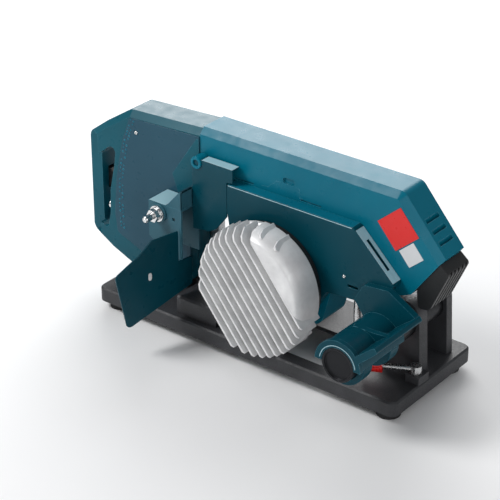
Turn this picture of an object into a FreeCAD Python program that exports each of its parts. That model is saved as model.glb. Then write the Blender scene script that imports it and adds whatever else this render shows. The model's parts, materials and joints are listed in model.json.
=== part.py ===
"""Portable horizontal band saw: a swinging saw bow on a cast base with a mitre vise.

Millimetres. +X runs along the bow from the grip to the hinge end, +Z is up, and the
operator's side, with the motor, faces -Y. The parts are drawn with the floor at z = 0,
the joint between the two wheel housings at x = 0 and their front face at y = 0. They
are moved together when they are saved, to put the origin under the front left foot.
"""
import FreeCAD
import Part
import math
import os
from FreeCAD import Vector

# ---------------------------------------------------------------- driving dimensions

# Base casting
foot_height = 12.0
foot_radius = 17.0
foot_stem_radius = 7.0
foot_inset = 24.0
tray_height = 22.0
tray_wall = 6.0
tray_left = -150.0
tray_overhang = 49.0
tray_front = -60.0
tray_back = 134.0
bench_hole_radius = 4.5
bench_hole_inset = 54.0
bench_hole_setback = 61.0
bench_hole_y = -36.0

# Table strip and vise bed
table_height = 28.0
table_left = -8.0
table_right = 64.0
table_front = -48.0
bed_left = -104.0
bed_right = 150.0
bed_front = 62.0
bed_back = 126.0
blade_slot = 6.0
blade_slot_depth = 10.0

# Blade and wheels
blade_y = 30.0
blade_width = 13.0
blade_thickness = 0.8
blade_dip = 2.1
tooth_pitch = 4.0
tooth_depth = 1.6
twist_lead = 12.0
wheel_radius = 65.0
wheel_width = 18.0
tyre_thickness = 3.0
tread_gap = 0.3
wheel_room = 4.0
wheel_spokes = 6
tension_travel = 6.0
drive_shaft_radius = 9.0
idler_axle_radius = 8.0
bearing_radius = 16.0
tension_screw_radius = 4.0

# Bow housings
back_y = 53.0
bow_top = 309.0
throat_left = -15.0
throat_right = 68.0
throat_height = 128.0
housing_wall = 5.0
front_wall = 4.0
edge_bevel = 9.0
slope_run = 67.0
left_drop = 3.0
grip_reach = 120.0
grip_thickness = 21.0
grip_setback = 9.0
panel_thickness = 2.2
back_cover_thickness = 2.0

# Front sheet-metal tray, bracket and work stop
sheet = 3.0
tray_depth = 19.0
sheet_drop = 61.0
bush_radius = 7.5
bush_bore = 4.8
mount_depth = 22.0
stud_radius = 5.0
stop_reach = 142.0
stop_rise = 130.0
stop_lean = 9.0
stop_sheet = 3.0

# Motor
motor_radius = 75.0
motor_body_depth = 14.0
motor_cover_depth = 34.0
motor_nose_radius = 18.0
fin_pitch = 12.2
fin_thickness = 5.4
fin_angle = 51.0

# Hinge
hinge_x = 327.0
hinge_z = 108.0
hinge_tube_radius = 25.0
hinge_tube_wall = 4.0
hinge_gap = 0.3
saddle_radius = 34.0
saddle_lip = 2.0
saddle_length = 105.0
front_post_front = 22.0
front_post_back = 42.0
rear_post_front = 90.0
rear_post_back = 104.0
down_stop_setback = 59.0
down_stop_radius = 7.0
seat_gap = 0.4
belly_rise = 4.0
strap_width = 20.0
strap_inset = 12.0
lever_length = 69.0
lever_angle = 26.0
lug_height = 12.0

# Guides
guide_inset = 10.0
roller_radius = 6.0
roller_pin_radius = 2.5
rail_height = 12.0
guide_knob_radius = 11.0

# Vise
vise_y = 100.0
jaw_front = 66.0
jaw_length = 56.0
jaw_height = 48.0
jaw_thickness = 12.0
fixed_jaw_x = 66.0
jaw_opening = 74.0
jaw_pivot_radius = 8.0
vise_screw_radius = 7.0
vise_screw_rise = 22.0
handwheel_radius = 38.0

# Clearances
fit = 0.1
gap = 0.3

# ---------------------------------------------------------------- worked-out places

tray_top = foot_height + tray_height
tray_right = hinge_x + tray_overhang
table_top = tray_top + table_height
throat_top = table_top + throat_height
blade_inner = wheel_radius + tread_gap
blade_outer = blade_inner + blade_thickness
blade_middle = blade_inner + blade_thickness / 2
cavity_radius = blade_outer + wheel_room
cheek = cavity_radius + housing_wall
run_low_z = table_top + blade_width / 2 - blade_dip
wheel_z = run_low_z + blade_middle
run_high_z = wheel_z + blade_middle
drive_x = throat_right + cheek
idler_x = throat_left - cheek - tension_travel
wheel_front = blade_y - wheel_width / 2
wheel_back = blade_y + wheel_width / 2
plate_y = -tray_depth
plate_back = plate_y + sheet
sheet_top = bow_top - sheet_drop
grip_x = idler_x - grip_reach
apex = (hinge_x + 74, hinge_z + 123)
heel = (hinge_x + 29, hinge_z + 60)
belly = (hinge_x - 34, hinge_z + 34)
belly_start = drive_x + cheek + 12
belly_slope = belly_rise / (belly[0] - belly_start)
slope_top = (apex[0] - slope_run, bow_top)
guide_left_x = throat_left + guide_inset
guide_right_x = throat_right - guide_inset
saddle_back = plate_y
saddle_front = saddle_back - saddle_length
moving_jaw_x = fixed_jaw_x - jaw_opening
vise_screw_z = table_top + vise_screw_rise


# ---------------------------------------------------------------- helpers

def box(x0, x1, y0, y1, z0, z1):
    return Part.makeBox(x1 - x0, y1 - y0, z1 - z0, Vector(x0, y0, z0))


def rod_x(y, z, radius, x0, x1):
    return Part.makeCylinder(radius, x1 - x0, Vector(x0, y, z), Vector(1, 0, 0))


def rod_y(x, z, radius, y0, y1):
    return Part.makeCylinder(radius, y1 - y0, Vector(x, y0, z), Vector(0, 1, 0))


def rod_z(x, y, radius, z0, z1):
    return Part.makeCylinder(radius, z1 - z0, Vector(x, y, z0), Vector(0, 0, 1))


def ring_x(y, z, outer, inner, x0, x1):
    return rod_x(y, z, outer, x0, x1).cut(rod_x(y, z, inner, x0 - 1, x1 + 1))


def ring_y(x, z, outer, inner, y0, y1):
    return rod_y(x, z, outer, y0, y1).cut(rod_y(x, z, inner, y0 - 1, y1 + 1))


def ring_z(x, y, outer, inner, z0, z1):
    return rod_z(x, y, outer, z0, z1).cut(rod_z(x, y, inner, z0 - 1, z1 + 1))


def fused(shapes):
    return shapes[0].multiFuse(shapes[1:]).removeSplitter()


def corner_arc(before, corner, after, radius):
    """Start, middle and end of the arc that rounds one corner."""
    back = before.sub(corner).normalize()
    ahead = after.sub(corner).normalize()
    half = back.getAngle(ahead) / 2
    reach = radius / math.tan(half)
    inward = back.add(ahead).normalize()
    centre = corner.add(inward * (radius / math.sin(half)))
    return corner.add(back * reach), centre.sub(inward * radius), corner.add(ahead * reach)


def outline(corners):
    """Closed wire in the plane y = 0 through corners (x, z) or rounded ones (x, z, radius)."""
    points = [Vector(corner[0], 0, corner[1]) for corner in corners]
    arcs = []
    for index, corner in enumerate(corners):
        point = points[index]
        if len(corner) == 3:
            arcs.append(corner_arc(points[index - 1], point, points[(index + 1) % len(points)], corner[2]))
        else:
            arcs.append((point, None, point))
    edges = []
    for index, (start, middle, end) in enumerate(arcs):
        last_end = arcs[index - 1][2]
        if last_end.distanceToPoint(start) > 1e-6:
            edges.append(Part.LineSegment(last_end, start).toShape())
        if middle is not None:
            edges.append(Part.Arc(start, middle, end).toShape())
    return Part.Wire(edges)


def extrude_y(wire, y0, y1):
    face = Part.Face(wire)
    face.translate(Vector(0, y0, 0))
    return face.extrude(Vector(0, y1 - y0, 0))


def plate(corners, y0, y1):
    return extrude_y(outline(corners), y0, y1)


def flat_outline(corners):
    """Outline for a plate that will lie flat; corners are (x, y) or (x, y, radius)."""
    return outline([(corner[0], -corner[1]) + tuple(corner[2:]) for corner in corners])


def extrude_z(wire, z0, z1):
    """Plate between two heights, from a wire made by flat_outline."""
    solid = extrude_y(wire, z0, z1)
    solid.rotate(Vector(0, 0, 0), Vector(1, 0, 0), 90)
    return solid


def plate_z(corners, z0, z1):
    return extrude_z(flat_outline(corners), z0, z1)


def tub(corners, y0, y1, wall, floor):
    """Open-backed shell: a floor at y0 and walls of one thickness up to y1."""
    inner = outline(corners).makeOffset2D(-wall)
    return plate(corners, y0, y1).cut(extrude_y(inner, y0 + floor, y1 + 1))


def front_bevel(shape, y, size, keep):
    """Chamfer the edges in the plane y whose middle passes keep(x, z)."""
    chosen = []
    for edge in shape.Edges:
        limits = edge.BoundBox
        if abs(limits.YMin - y) < 1e-6 and abs(limits.YMax - y) < 1e-6:
            middle = edge.CenterOfMass
            if keep(middle.x, middle.z):
                chosen.append(edge)
    return shape.makeChamfer(size, chosen)


def hexagon_y(x, z, flats, y0, y1):
    """Nut or bolt head: a hexagonal prism along Y, measured across its flats."""
    reach = flats / 2 / math.cos(math.radians(30))
    corners = []
    for index in range(6):
        angle = math.radians(60 * index)
        corners.append((x + reach * math.cos(angle), z + reach * math.sin(angle)))
    return plate(corners, y0, y1)


def turned(shape, degrees, x, z):
    """Turn a shape drawn round the Y axis clockwise as the operator sees it, and place it."""
    shape.rotate(Vector(0, 0, 0), Vector(0, 1, 0), degrees)
    shape.translate(Vector(x, 0, z))
    return shape


def save(name, *solids):
    """Write one node, with the origin under the middle of the front left foot."""
    shape = Part.makeCompound(list(solids)) if len(solids) > 1 else solids[0]
    datum = foot_places()[0]
    shape.translate(Vector(-datum[0], -datum[1], 0))
    shape.exportStep("parts/" + name + ".step")


# ---------------------------------------------------------------- bow housings

def wheel_cavities():
    """Room for both wheels and the blade's upper run, open at the back."""
    y0 = front_wall
    y1 = back_y + 1
    left = rod_y(idler_x, wheel_z, cavity_radius, y0, y1)
    moved = rod_y(idler_x + tension_travel, wheel_z, cavity_radius, y0, y1)
    right = rod_y(drive_x, wheel_z, cavity_radius, y0, y1)
    upper = box(idler_x, drive_x, y0, y1, run_high_z - 6, run_high_z + 8)
    lower = box(idler_x, drive_x, blade_y - 10, blade_y + 10, run_low_z - 8, run_low_z + 8)
    return fused([left, moved, right, upper, lower])


def bow_corners():
    return [
        (0, bow_top),
        (slope_top[0], slope_top[1], 14),
        apex,
        (heel[0], heel[1], 8),
        (belly[0], belly[1], 10),
        (belly_start, belly[1] - belly_rise, 12),
        (drive_x + cheek - 6, wheel_z - 62, 22),
        (drive_x + 8, wheel_z - cheek - 3, 60),
        (throat_right, wheel_z - 62, 26),
        (throat_right, throat_top),
        (0, throat_top),
    ]


def wheel_walls(x):
    """Round wall of a wheel room, inside the housing."""
    return ring_y(x, wheel_z, cheek, cavity_radius, front_wall - 1, back_y)


def make_bow_housing():
    """Shell of the drive side, from the joint to the sloping hinge end."""
    solid = plate(bow_corners(), 0, back_y)
    solid = front_bevel(solid, 0, edge_bevel, lambda x, z: z > apex[1] + 1 and x > 1)
    room = extrude_y(outline(bow_corners()).makeOffset2D(-edge_bevel), front_wall + housing_wall, back_y + 1)
    shell = solid.cut(room)
    # Walls round the wheel, the throat and the upper run stand in the room
    throat_wall = box(0, throat_right, front_wall, back_y, throat_top, run_high_z + 14)
    walls = fused([wheel_walls(drive_x), throat_wall])
    shell = shell.fuse(walls.common(solid)).cut(wheel_cavities())
    shell = shell.cut(rod_y(drive_x, wheel_z, motor_nose_radius + 1, -1, front_wall + 1))
    # Dark slots along the top of the motor tray, and an oval hole above them
    for x in (throat_right - 8, drive_x + 31):
        shell = shell.cut(box(x, x + 34, -1, 2.5, sheet_top + 2, sheet_top + 4.6))
    oval = [(drive_x + 1, sheet_top + 20, 4), (drive_x + 21, sheet_top + 20, 4),
            (drive_x + 21, sheet_top + 29, 4), (drive_x + 1, sheet_top + 29, 4)]
    shell = shell.cut(plate(oval, -1, 3))
    for step in range(3):
        x = slope_top[0] + 31 + 11 * step
        z = bow_top - (x - slope_top[0]) * (bow_top - apex[1]) / slope_run
        shell = shell.cut(box(x - 2.2, x + 2.2, 14, 44, z - 6, z + 20))
    return shell.removeSplitter()


def left_corners():
    return [
        (0, bow_top - left_drop),
        (grip_x + 82, bow_top - 10, 14),
        (grip_x + 36, bow_top - 40, 14),
        (grip_x, bow_top - 67, 14),
        (grip_x, wheel_z - 47, 14),
        (grip_x + 41, wheel_z - 71, 14),
        (idler_x - 40, wheel_z - cheek - 12, 14),
        (idler_x + 35, wheel_z - cheek - 8, 30),
        (throat_left, wheel_z - 72, 18),
        (throat_left, throat_top),
        (0, throat_top),
    ]


def handle_opening(y0, y1):
    inner = grip_x + grip_thickness
    corners = [
        (inner, bow_top - 95, 7),
        (inner + 37, bow_top - 65, 8),
        (inner + 32, bow_top - 105, 30),
        (inner + 23, wheel_z + 31, 40),
        (inner + 21, wheel_z - 9, 30),
        (inner + 15, wheel_z - 37, 6),
        (inner, wheel_z - 29, 7),
    ]
    return plate(corners, y0, y1)


def grip_cut(y0, y1):
    return box(grip_x - 1, grip_x + grip_thickness + 1, y0, y1, wheel_z - 49, bow_top - 63)


carriage_front = front_wall + 0.4
carriage_half = 11.0
screw_y = 12.0


def carriage_rail(z0):
    return box(idler_x - 34, idler_x + 34, 1, front_wall + 8, z0, z0 + 8)


def make_left_housing():
    """Shell of the idler side, with the grip and the hand opening cast in."""
    corners = left_corners()
    solid = plate(corners, 0, back_y)
    solid = front_bevel(solid, 0, edge_bevel, lambda x, z: z > 200 and x < -1)
    solid = solid.cut(handle_opening(-1, back_y + 1))
    solid = solid.cut(grip_cut(-1, grip_setback)).cut(grip_cut(back_y - grip_setback + 2, back_y + 1))
    room = extrude_y(outline(corners).makeOffset2D(-edge_bevel), front_wall + housing_wall, back_y + 1)
    grip_side = box(grip_x - 5, idler_x - cheek + 4, -1, back_y + 2, 0, bow_top)
    walls = fused([wheel_walls(idler_x), wheel_walls(idler_x + tension_travel), grip_side,
                   box(throat_left - 1, 1, front_wall, back_y, throat_top, run_high_z + 14)])
    shell = solid.cut(room.cut(walls)).cut(wheel_cavities())
    rails = [carriage_rail(wheel_z - carriage_half - 8.3), carriage_rail(wheel_z + carriage_half + gap)]
    shell = fused([shell] + rails)
    shell = shell.cut(rod_x(screw_y, wheel_z, tension_screw_radius + fit / 2, grip_x + 35, idler_x))
    return shell.cut(trigger_room())


def panel_corners():
    return [
        (-0.5, bow_top - left_drop - 10),
        (idler_x - 33, bow_top - 19, 6),
        (idler_x - 48, bow_top - 59, 60),
        (idler_x - 61, wheel_z + 58, 90),
        (idler_x - 67, wheel_z - 4, 60),
        (idler_x - 63, wheel_z - 34, 6),
        (idler_x - 11, wheel_z - 54, 4),
        (idler_x + 35, wheel_z - cheek + 8, 20),
        (throat_left - 4, wheel_z - 60, 10),
        (throat_left - 4, throat_top + 4, 6),
        (-0.5, throat_top + 4),
    ]


def make_left_panel():
    """Thin cover over the left housing, with the curved edge beside the hand opening."""
    panel = plate(panel_corners(), -panel_thickness, 0)
    for x, z in ((idler_x + 11, wheel_z + 8), (idler_x - 21, bow_top - 39), (idler_x + 55, wheel_z - 48)):
        panel = panel.cut(rod_y(x, z, 3.4, -panel_thickness - 1, -1))
    return panel


cover_margin = 3.0


def make_back_cover():
    """Sheet cover over the whole back, with louvres behind the motor."""
    y1 = back_y + back_cover_thickness
    right = extrude_y(outline(bow_corners()).makeOffset2D(-cover_margin), back_y, y1)
    left = extrude_y(outline(left_corners()).makeOffset2D(-cover_margin), back_y, y1)
    left = left.cut(box(grip_x - 5, idler_x - cheek + 2, back_y - 1, y1 + 1, 0, bow_top))
    left = left.cut(handle_opening(back_y - 1, y1 + 1))
    bridge = box(-5, 5, back_y, y1, throat_top + cover_margin, bow_top - left_drop - cover_margin)
    cover = fused([right, left, bridge])
    for row in range(6):
        z = sheet_top - 8 + row * 8
        cover = cover.cut(box(drive_x + 8, drive_x + 108, back_y - 1, back_y + 4, z, z + 3.2))
    return cover


trigger_z = wheel_z + 36


def trigger_room():
    inner = grip_x + grip_thickness
    return box(inner - 11, inner + 7, blade_y - 8.3, blade_y + 4.3, trigger_z - 18, trigger_z + 18)


def make_trigger():
    """Sprung trigger on the inner side of the grip, pulled toward the grip."""
    inner = grip_x + grip_thickness
    corners = [(inner + 2, trigger_z + 15), (inner + 11, trigger_z + 10, 4), (inner + 13, trigger_z - 2, 8),
               (inner + 10, trigger_z - 15, 4), (inner + 2, trigger_z - 15)]
    pad = plate(corners, blade_y - 8, blade_y + 4)
    stem = box(inner - 4, inner + 3, blade_y - 8, blade_y + 4, trigger_z - 15, trigger_z + 15)
    return fused([pad, stem])


# ---------------------------------------------------------------- wheels and blade

def make_wheel(x, bore):
    """Cast wheel: rim, hub and a web with round lightening holes."""
    rim_outer = wheel_radius - tyre_thickness
    rim = ring_y(x, wheel_z, rim_outer, rim_outer - 7, wheel_front, wheel_back)
    web = ring_y(x, wheel_z, rim_outer - 6, bore + 2, blade_y - 2.5, blade_y + 2.5)
    hub = rod_y(x, wheel_z, bearing_radius + 5, wheel_front + 1, wheel_back - 1)
    hole_ring = (rim_outer + bearing_radius) / 2 - 1
    for index in range(wheel_spokes):
        angle = 2 * math.pi * index / wheel_spokes
        hole_x = x + hole_ring * math.cos(angle)
        hole_z = wheel_z + hole_ring * math.sin(angle)
        web = web.cut(rod_y(hole_x, hole_z, 11, blade_y - 4, blade_y + 4))
    return fused([rim, web, hub]).cut(rod_y(x, wheel_z, bore, wheel_front - 1, wheel_back + 1))


def make_tyre(x):
    return ring_y(x, wheel_z, wheel_radius, wheel_radius - tyre_thickness, wheel_front, wheel_back)


def make_drive_shaft():
    """Motor output shaft with a flange and end washer that hold the drive wheel."""
    shaft = rod_y(drive_x, wheel_z, drive_shaft_radius, plate_y - 8, wheel_back + 3)
    flange = rod_y(drive_x, wheel_z, motor_nose_radius - 1, wheel_front - 6, wheel_front + 1)
    washer = rod_y(drive_x, wheel_z, 13, wheel_back - 1, wheel_back + 3)
    return fused([shaft, flange, washer])


def make_bearing(x):
    return ring_y(x, wheel_z, bearing_radius, idler_axle_radius + fit / 2, wheel_front + 3, wheel_back - 3)


def make_idler_carriage():
    """Sliding block with the idler axle; the tension screw pulls it along X."""
    z0 = wheel_z - carriage_half
    z1 = wheel_z + carriage_half
    block = box(idler_x - 20, idler_x + 20, carriage_front, wheel_front - 2, z0, z1)
    axle = rod_y(idler_x, wheel_z, idler_axle_radius, wheel_front - 3, wheel_back + 2)
    shoulder = rod_y(idler_x, wheel_z, 11, wheel_front - 3, wheel_front + 2.6)
    cap = rod_y(idler_x, wheel_z, 10.5, wheel_back - 2.6, wheel_back + 3)
    carriage = fused([block, axle, shoulder, cap])
    return carriage.cut(rod_x(screw_y, wheel_z, tension_screw_radius + fit / 2, idler_x - 30, idler_x - 6))


def make_tension_screw():
    """Socket-head screw from the hand opening into the idler carriage."""
    start = grip_x + 39
    shank = rod_x(screw_y, wheel_z, tension_screw_radius, start, idler_x - 13)
    head = rod_x(screw_y, wheel_z, 6.5, start - 4.5, start + 1.4)
    return fused([shank, head]).cut(rod_x(screw_y, wheel_z, 3, start - 5, start - 1))


def run_section(x, twist_deg):
    """Blade cross-section at x on the lower run, turned about the run's own line."""
    angle = math.radians(twist_deg)
    points = []
    for along, across in ((-1, -1), (1, -1), (1, 1), (-1, 1)):
        width = along * blade_width / 2
        depth = across * blade_thickness / 2
        y = width * math.cos(angle) - depth * math.sin(angle)
        z = width * math.sin(angle) + depth * math.cos(angle)
        points.append(Vector(x, blade_y + y, run_low_z + z))
    points.append(points[0])
    return Part.makePolygon(points)


upright_left = guide_left_x - 10
upright_right = guide_right_x + 10


def twisted_run(x0, x1, turn0, turn1, steps=6):
    """Blade between x0 and x1 while it turns from one angle to the other."""
    pieces = []
    for index in range(steps):
        here = index / steps
        there = (index + 1) / steps
        first = run_section(x0 + (x1 - x0) * here, turn0 + (turn1 - turn0) * here)
        second = run_section(x0 + (x1 - x0) * there, turn0 + (turn1 - turn0) * there)
        pieces.append(Part.makeLoft([first, second], True, True))
    return pieces


def half_turn(x, side):
    """Blade round the outer half of a wheel; side is -1 for the left one."""
    y0 = blade_y - blade_width / 2
    y1 = blade_y + blade_width / 2
    loop = ring_y(x, wheel_z, blade_outer, blade_inner, y0, y1)
    inner = sorted((x, x - side * 2 * blade_outer))
    return loop.cut(box(inner[0], inner[1], y0 - 1, y1 + 1, wheel_z - 100, wheel_z + 100))


def make_blade():
    """Endless blade: two half turns, the upper run and the twisted, toothed lower run."""
    y0 = blade_y - blade_width / 2
    y1 = blade_y + blade_width / 2
    start = idler_x + twist_lead
    end = drive_x - twist_lead
    pieces = [half_turn(idler_x, -1), half_turn(drive_x, 1)]
    pieces.append(box(idler_x, drive_x, y0, y1, wheel_z + blade_inner, wheel_z + blade_outer))
    pieces.append(box(idler_x, start, y0, y1, wheel_z - blade_outer, wheel_z - blade_inner))
    pieces.append(box(end, drive_x, y0, y1, wheel_z - blade_outer, wheel_z - blade_inner))
    pieces += twisted_run(start, upright_left, 0, 90)
    pieces += twisted_run(upright_right, end, 90, 0)
    low = run_low_z - blade_width / 2
    high = run_low_z + blade_width / 2
    half = blade_thickness / 2
    cutting = box(upright_left, upright_right, blade_y - half, blade_y + half, low, high)
    first = guide_left_x + roller_radius + 2
    count = int((guide_right_x - roller_radius - 2 - first) / tooth_pitch)
    for index in range(count):
        x = first + tooth_pitch * index
        gullet = [(x, low - 0.5), (x + tooth_pitch, low - 0.5), (x + tooth_pitch * 0.75, low + tooth_depth)]
        cutting = cutting.cut(plate(gullet, blade_y - 2, blade_y + 2))
    return fused(pieces + [cutting])


# ---------------------------------------------------------------- front tray and motor

sheet_left = throat_right - 6
slope_foot = (hinge_x + 15, hinge_z + 75)
slope_head = (hinge_x - 52, sheet_top)


def make_motor_tray():
    """Flanged sheet tray in front of the bow that carries the motor."""
    corners = [
        (sheet_left, sheet_top, 4),
        (slope_head[0], slope_head[1], 6),
        (slope_foot[0], slope_foot[1], 6),
        (hinge_x + 7, hinge_z + 64, 4),
        (belly[0], belly[1], 6),
        (belly_start + 3, belly[1] - belly_rise, 6),
        (drive_x + cheek - 11, wheel_z - 36, 10),
        (drive_x + 8, wheel_z - 58, 40),
        (throat_right + 16, wheel_z - 36, 20),
        (throat_right + 4, wheel_z + 18, 10),
        (sheet_left, wheel_z + 74),
    ]
    tray = tub(corners, plate_y, 0, sheet, sheet)
    tray = tray.cut(rod_y(drive_x, wheel_z, motor_nose_radius + 10, plate_y - 1, plate_back + 1))
    # Long slot through the sloped flange
    run = slope_foot[0] - slope_head[0]
    drop = slope_head[1] - slope_foot[1]
    slot = box(-24, 24, plate_y / 2 - 2.5, plate_y / 2 + 2, -10, 10)
    slope = math.degrees(math.atan2(drop, run))
    tray = tray.cut(turned(slot, slope, slope_head[0] + run / 2, slope_head[1] - drop / 2))
    # Small slot near the lower corner
    slot = box(hinge_x - 59, hinge_x - 43, plate_y - 1, plate_back + 1, belly[1] + 16, belly[1] + 20)
    return tray.cut(slot)


bush_x = 16.0
bush_z = sheet_top + 6


def make_stop_bracket():
    """Gusset plate left of the tray, with a top flange and a left flange."""
    right = sheet_left - 2.4
    corners = [(0, sheet_top + 27, 4), (right, sheet_top + 28, 2), (right, wheel_z + 74),
               (34, wheel_z + 40, 8), (0, wheel_z + 11, 4)]
    gusset = plate(corners, plate_y, plate_back)
    top = box(4, right, plate_y, -2.5, sheet_top + 24, sheet_top + 27)
    left = box(0, sheet, plate_y, -2.5, wheel_z + 14, sheet_top + 24)
    return fused([gusset, top, left]).cut(rod_y(bush_x, bush_z, bush_radius + fit, plate_y - 1, 1))


def make_bracket_bush():
    return ring_y(bush_x, bush_z, bush_radius, bush_bore, plate_y - 3, -2.4)


stud_x = -41.0
stud_z = wheel_z + 51
mount_front = -2 * mount_depth
mount_left = stud_x - 19
mount_top = stud_z + 15
mount_low = wheel_z - 12


def make_stop_mount():
    """Folded box bracket that holds the work stop, left of the gusset."""
    front = box(mount_left, -gap, mount_front, mount_front + sheet, mount_low, mount_top)
    top = box(mount_left, -gap, mount_front, -2.4, mount_top - sheet, mount_top)
    back = box(mount_left, -gap, -5.2, -2.4, mount_low, mount_top)
    left = box(mount_left, mount_left + sheet, mount_front, -2.4, mount_low + 30, mount_top)
    body = fused([front, top, back, left])
    corner = [(mount_left - 10, mount_low - 10), (mount_left + 40, mount_low - 10),
              (mount_left - 10, mount_low + 30)]
    body = body.cut(plate(corner, mount_front - 6, 5))
    body = body.cut(rod_y(stud_x, stud_z, stud_radius + fit / 2, mount_front - 6, mount_front + 4))
    return body.cut(rod_y(stud_x + 27, stud_z - 3, 3, mount_front - 6, mount_front + 4))


def make_stop_stud():
    """Stud, two washers and a nut that clamp the work stop to its mount."""
    face = mount_front - sheet - 0.2
    stud = rod_y(stud_x, stud_z, stud_radius, face - 26, -5.4)
    washer = rod_y(stud_x, stud_z, 12, face - 2.1, face)
    small = rod_y(stud_x, stud_z, 9.5, face - 4.3, face - 2.1)
    nut = hexagon_y(stud_x, stud_z, 17, face - 12.3, face - 4.3)
    tip = Vector(stud_x, face - 26, stud_z)
    end = Part.makeCone(stud_radius, stud_radius - 1.6, 2, tip, Vector(0, -1, 0))
    return fused([stud, washer, small, nut, end])


def stop_bead(z, y0, y1):
    """Shallow pressed rib on the left side of the work stop."""
    bead = box(-stop_sheet - 1.6, -stop_sheet + 0.01, y0, y1, z - 7, z + 7)
    edges = [edge for edge in bead.Edges if abs(edge.CenterOfMass.x + stop_sheet + 1.6) < 0.01]
    return bead.makeChamfer(1.4, edges)


def make_work_stop():
    """Long stamped stop plate beside the throat, square to the blade's run."""
    foot = table_top + 4
    front = -19 - stop_reach
    corners = [(front, foot + 77, 16), (front, foot, 10), (-19, foot, 3), (-19, foot + 48, 3),
               (mount_front - 3, foot + 48, 3), (mount_front - 3, foot + stop_rise, 3),
               (mount_front - 28, foot + stop_rise - 2, 14)]
    stop = plate(corners, 0, stop_sheet)
    # The turn lays the plate's length on Y and its thickness on -X
    stop.rotate(Vector(0, 0, 0), Vector(0, 0, 1), 90)
    stop = fused([stop, stop_bead(foot + 62, front + 15, front + 95), stop_bead(foot + 30, front + 15, -40)])
    stop = stop.cut(rod_x(front + 57, foot + 8, 4, -10, 5))
    stop.rotate(Vector(0, 0, foot), Vector(0, 1, 0), -stop_lean)
    stop.translate(Vector(-1, 0, 0))
    face = mount_front - 0.1
    flange = box(stud_x - 15, stud_x + 20.5, face - sheet, face, stud_z - 21, stud_z + 11)
    return fused([stop, flange]).cut(rod_y(stud_x, stud_z, stud_radius + fit, mount_front - 20, -40))


motor_back = plate_y - motor_body_depth
motor_front = motor_back - motor_cover_depth


def make_motor_body():
    """Dark motor body between the tray and the finned cover, with its pilot nose."""
    body = rod_y(drive_x, wheel_z, motor_radius - 5, motor_back, plate_y)
    nose = rod_y(drive_x, wheel_z, motor_nose_radius, plate_y, front_wall)
    bore = rod_y(drive_x, wheel_z, drive_shaft_radius + fit / 2, plate_y - 10, front_wall + 6)
    return fused([body, nose]).cut(bore)


def make_fin(offset):
    """One cooling fin: sloped off at its upper end, square at the lower one."""
    half = math.sqrt(motor_radius ** 2 - offset ** 2)
    y0 = motor_front
    y1 = motor_back - 3
    side = [(-half, y0 + 12), (-half + 10, y0 + 1.5), (half - 4, y0), (half, y0 + 4), (half, y1), (-half, y1)]
    fin = plate_z(side, -fin_thickness / 2, fin_thickness / 2)
    fin.translate(Vector(0, 0, offset))
    return turned(fin, fin_angle, drive_x, wheel_z)


def make_shoulder(offset):
    """Smooth shoulder beyond the last fin, falling from its crest to the round edge."""
    profile = [(offset, motor_front + 1), (offset + 6, motor_front + 1), (motor_radius, motor_back - 8),
               (motor_radius, motor_back), (offset, motor_back)]
    wedge = plate_z(profile, -motor_radius, motor_radius)
    wedge.rotate(Vector(0, 0, 0), Vector(0, 1, 0), -90)
    wedge = wedge.common(rod_y(0, 0, motor_radius, motor_front, motor_back))
    return turned(wedge, fin_angle, drive_x, wheel_z)


def make_fin_cover():
    """Cast cover: a round dish with parallel fins that step along its edge."""
    dish = rod_y(drive_x, wheel_z, motor_radius, motor_back - 7, motor_back)
    core = rod_y(drive_x, wheel_z, motor_radius - 18, motor_front + 13, motor_back - 6)
    count = int(2 * motor_radius / fin_pitch)
    offsets = [(index - (count - 1) / 2) * fin_pitch for index in range(count - 2)]
    shoulder = make_shoulder(offsets[-1] + fin_pitch - fin_thickness / 2)
    return fused([dish, core, shoulder] + [make_fin(offset) for offset in offsets])


def on_slope(shape, along, depth):
    """Place a shape on the front face, along the slope's edge and below it."""
    run = apex[0] - slope_top[0]
    drop = slope_top[1] - apex[1]
    length = math.hypot(run, drop)
    x = (slope_top[0] + apex[0]) / 2 + along * run / length - depth * drop / length
    z = (slope_top[1] + apex[1]) / 2 - along * drop / length - depth * run / length
    return turned(shape, math.degrees(math.atan2(drop, run)), x, z)


def make_square_label():
    return on_slope(box(-23, 23, -0.6, 0, -23, 23), -13.3, 35.3)


def make_plain_label():
    return on_slope(box(-13, 13, -0.6, 0, -14, 14), 24.6, 38.9)


# ---------------------------------------------------------------- hinge end

def saddle_side(corners):
    """Move corners, given from the right and top of the arch, to where the arch is."""
    side = hinge_x + saddle_radius
    top = hinge_z + saddle_radius
    return [(side + corner[0], top + corner[1]) + tuple(corner[2:]) for corner in corners]


def make_saddle():
    """Half ring over the hinge tube, with its wing and gusset up to the motor tray."""
    arch = rod_y(hinge_x, hinge_z, saddle_radius, saddle_front, saddle_back)
    lip = rod_y(hinge_x, hinge_z, saddle_radius + saddle_lip, saddle_front, saddle_front + 7)
    below = box(hinge_x - 60, hinge_x + 60, saddle_front - 1, saddle_back + 1, hinge_z - 60, hinge_z)
    wing = plate(saddle_side([(-14, -17), (-5, -23), (27, 6, 3), (22, 13, 3)]), saddle_front, saddle_back)
    web = saddle_side([(-59, -14), (-12, -18), (-3, -22), (25, 5, 3), (20, 13, 3), (-22, 38, 6),
                       (-61, 34, 8), (-75, 8, 6)])
    gusset = plate(web, saddle_back - 10, saddle_back)
    middle = (saddle_front + saddle_back) / 2
    rib_side = saddle_side([(-50, -14), (-14, -17), (10, 2), (-12, 0, 8), (-44, 0)])
    rib = plate(rib_side, middle - 4, middle + 4)
    body = fused([arch.fuse(lip).cut(below), wing, gusset, rib])
    return body.cut(rod_y(hinge_x, hinge_z, hinge_tube_radius + hinge_gap, saddle_front - 90, back_y))


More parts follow.
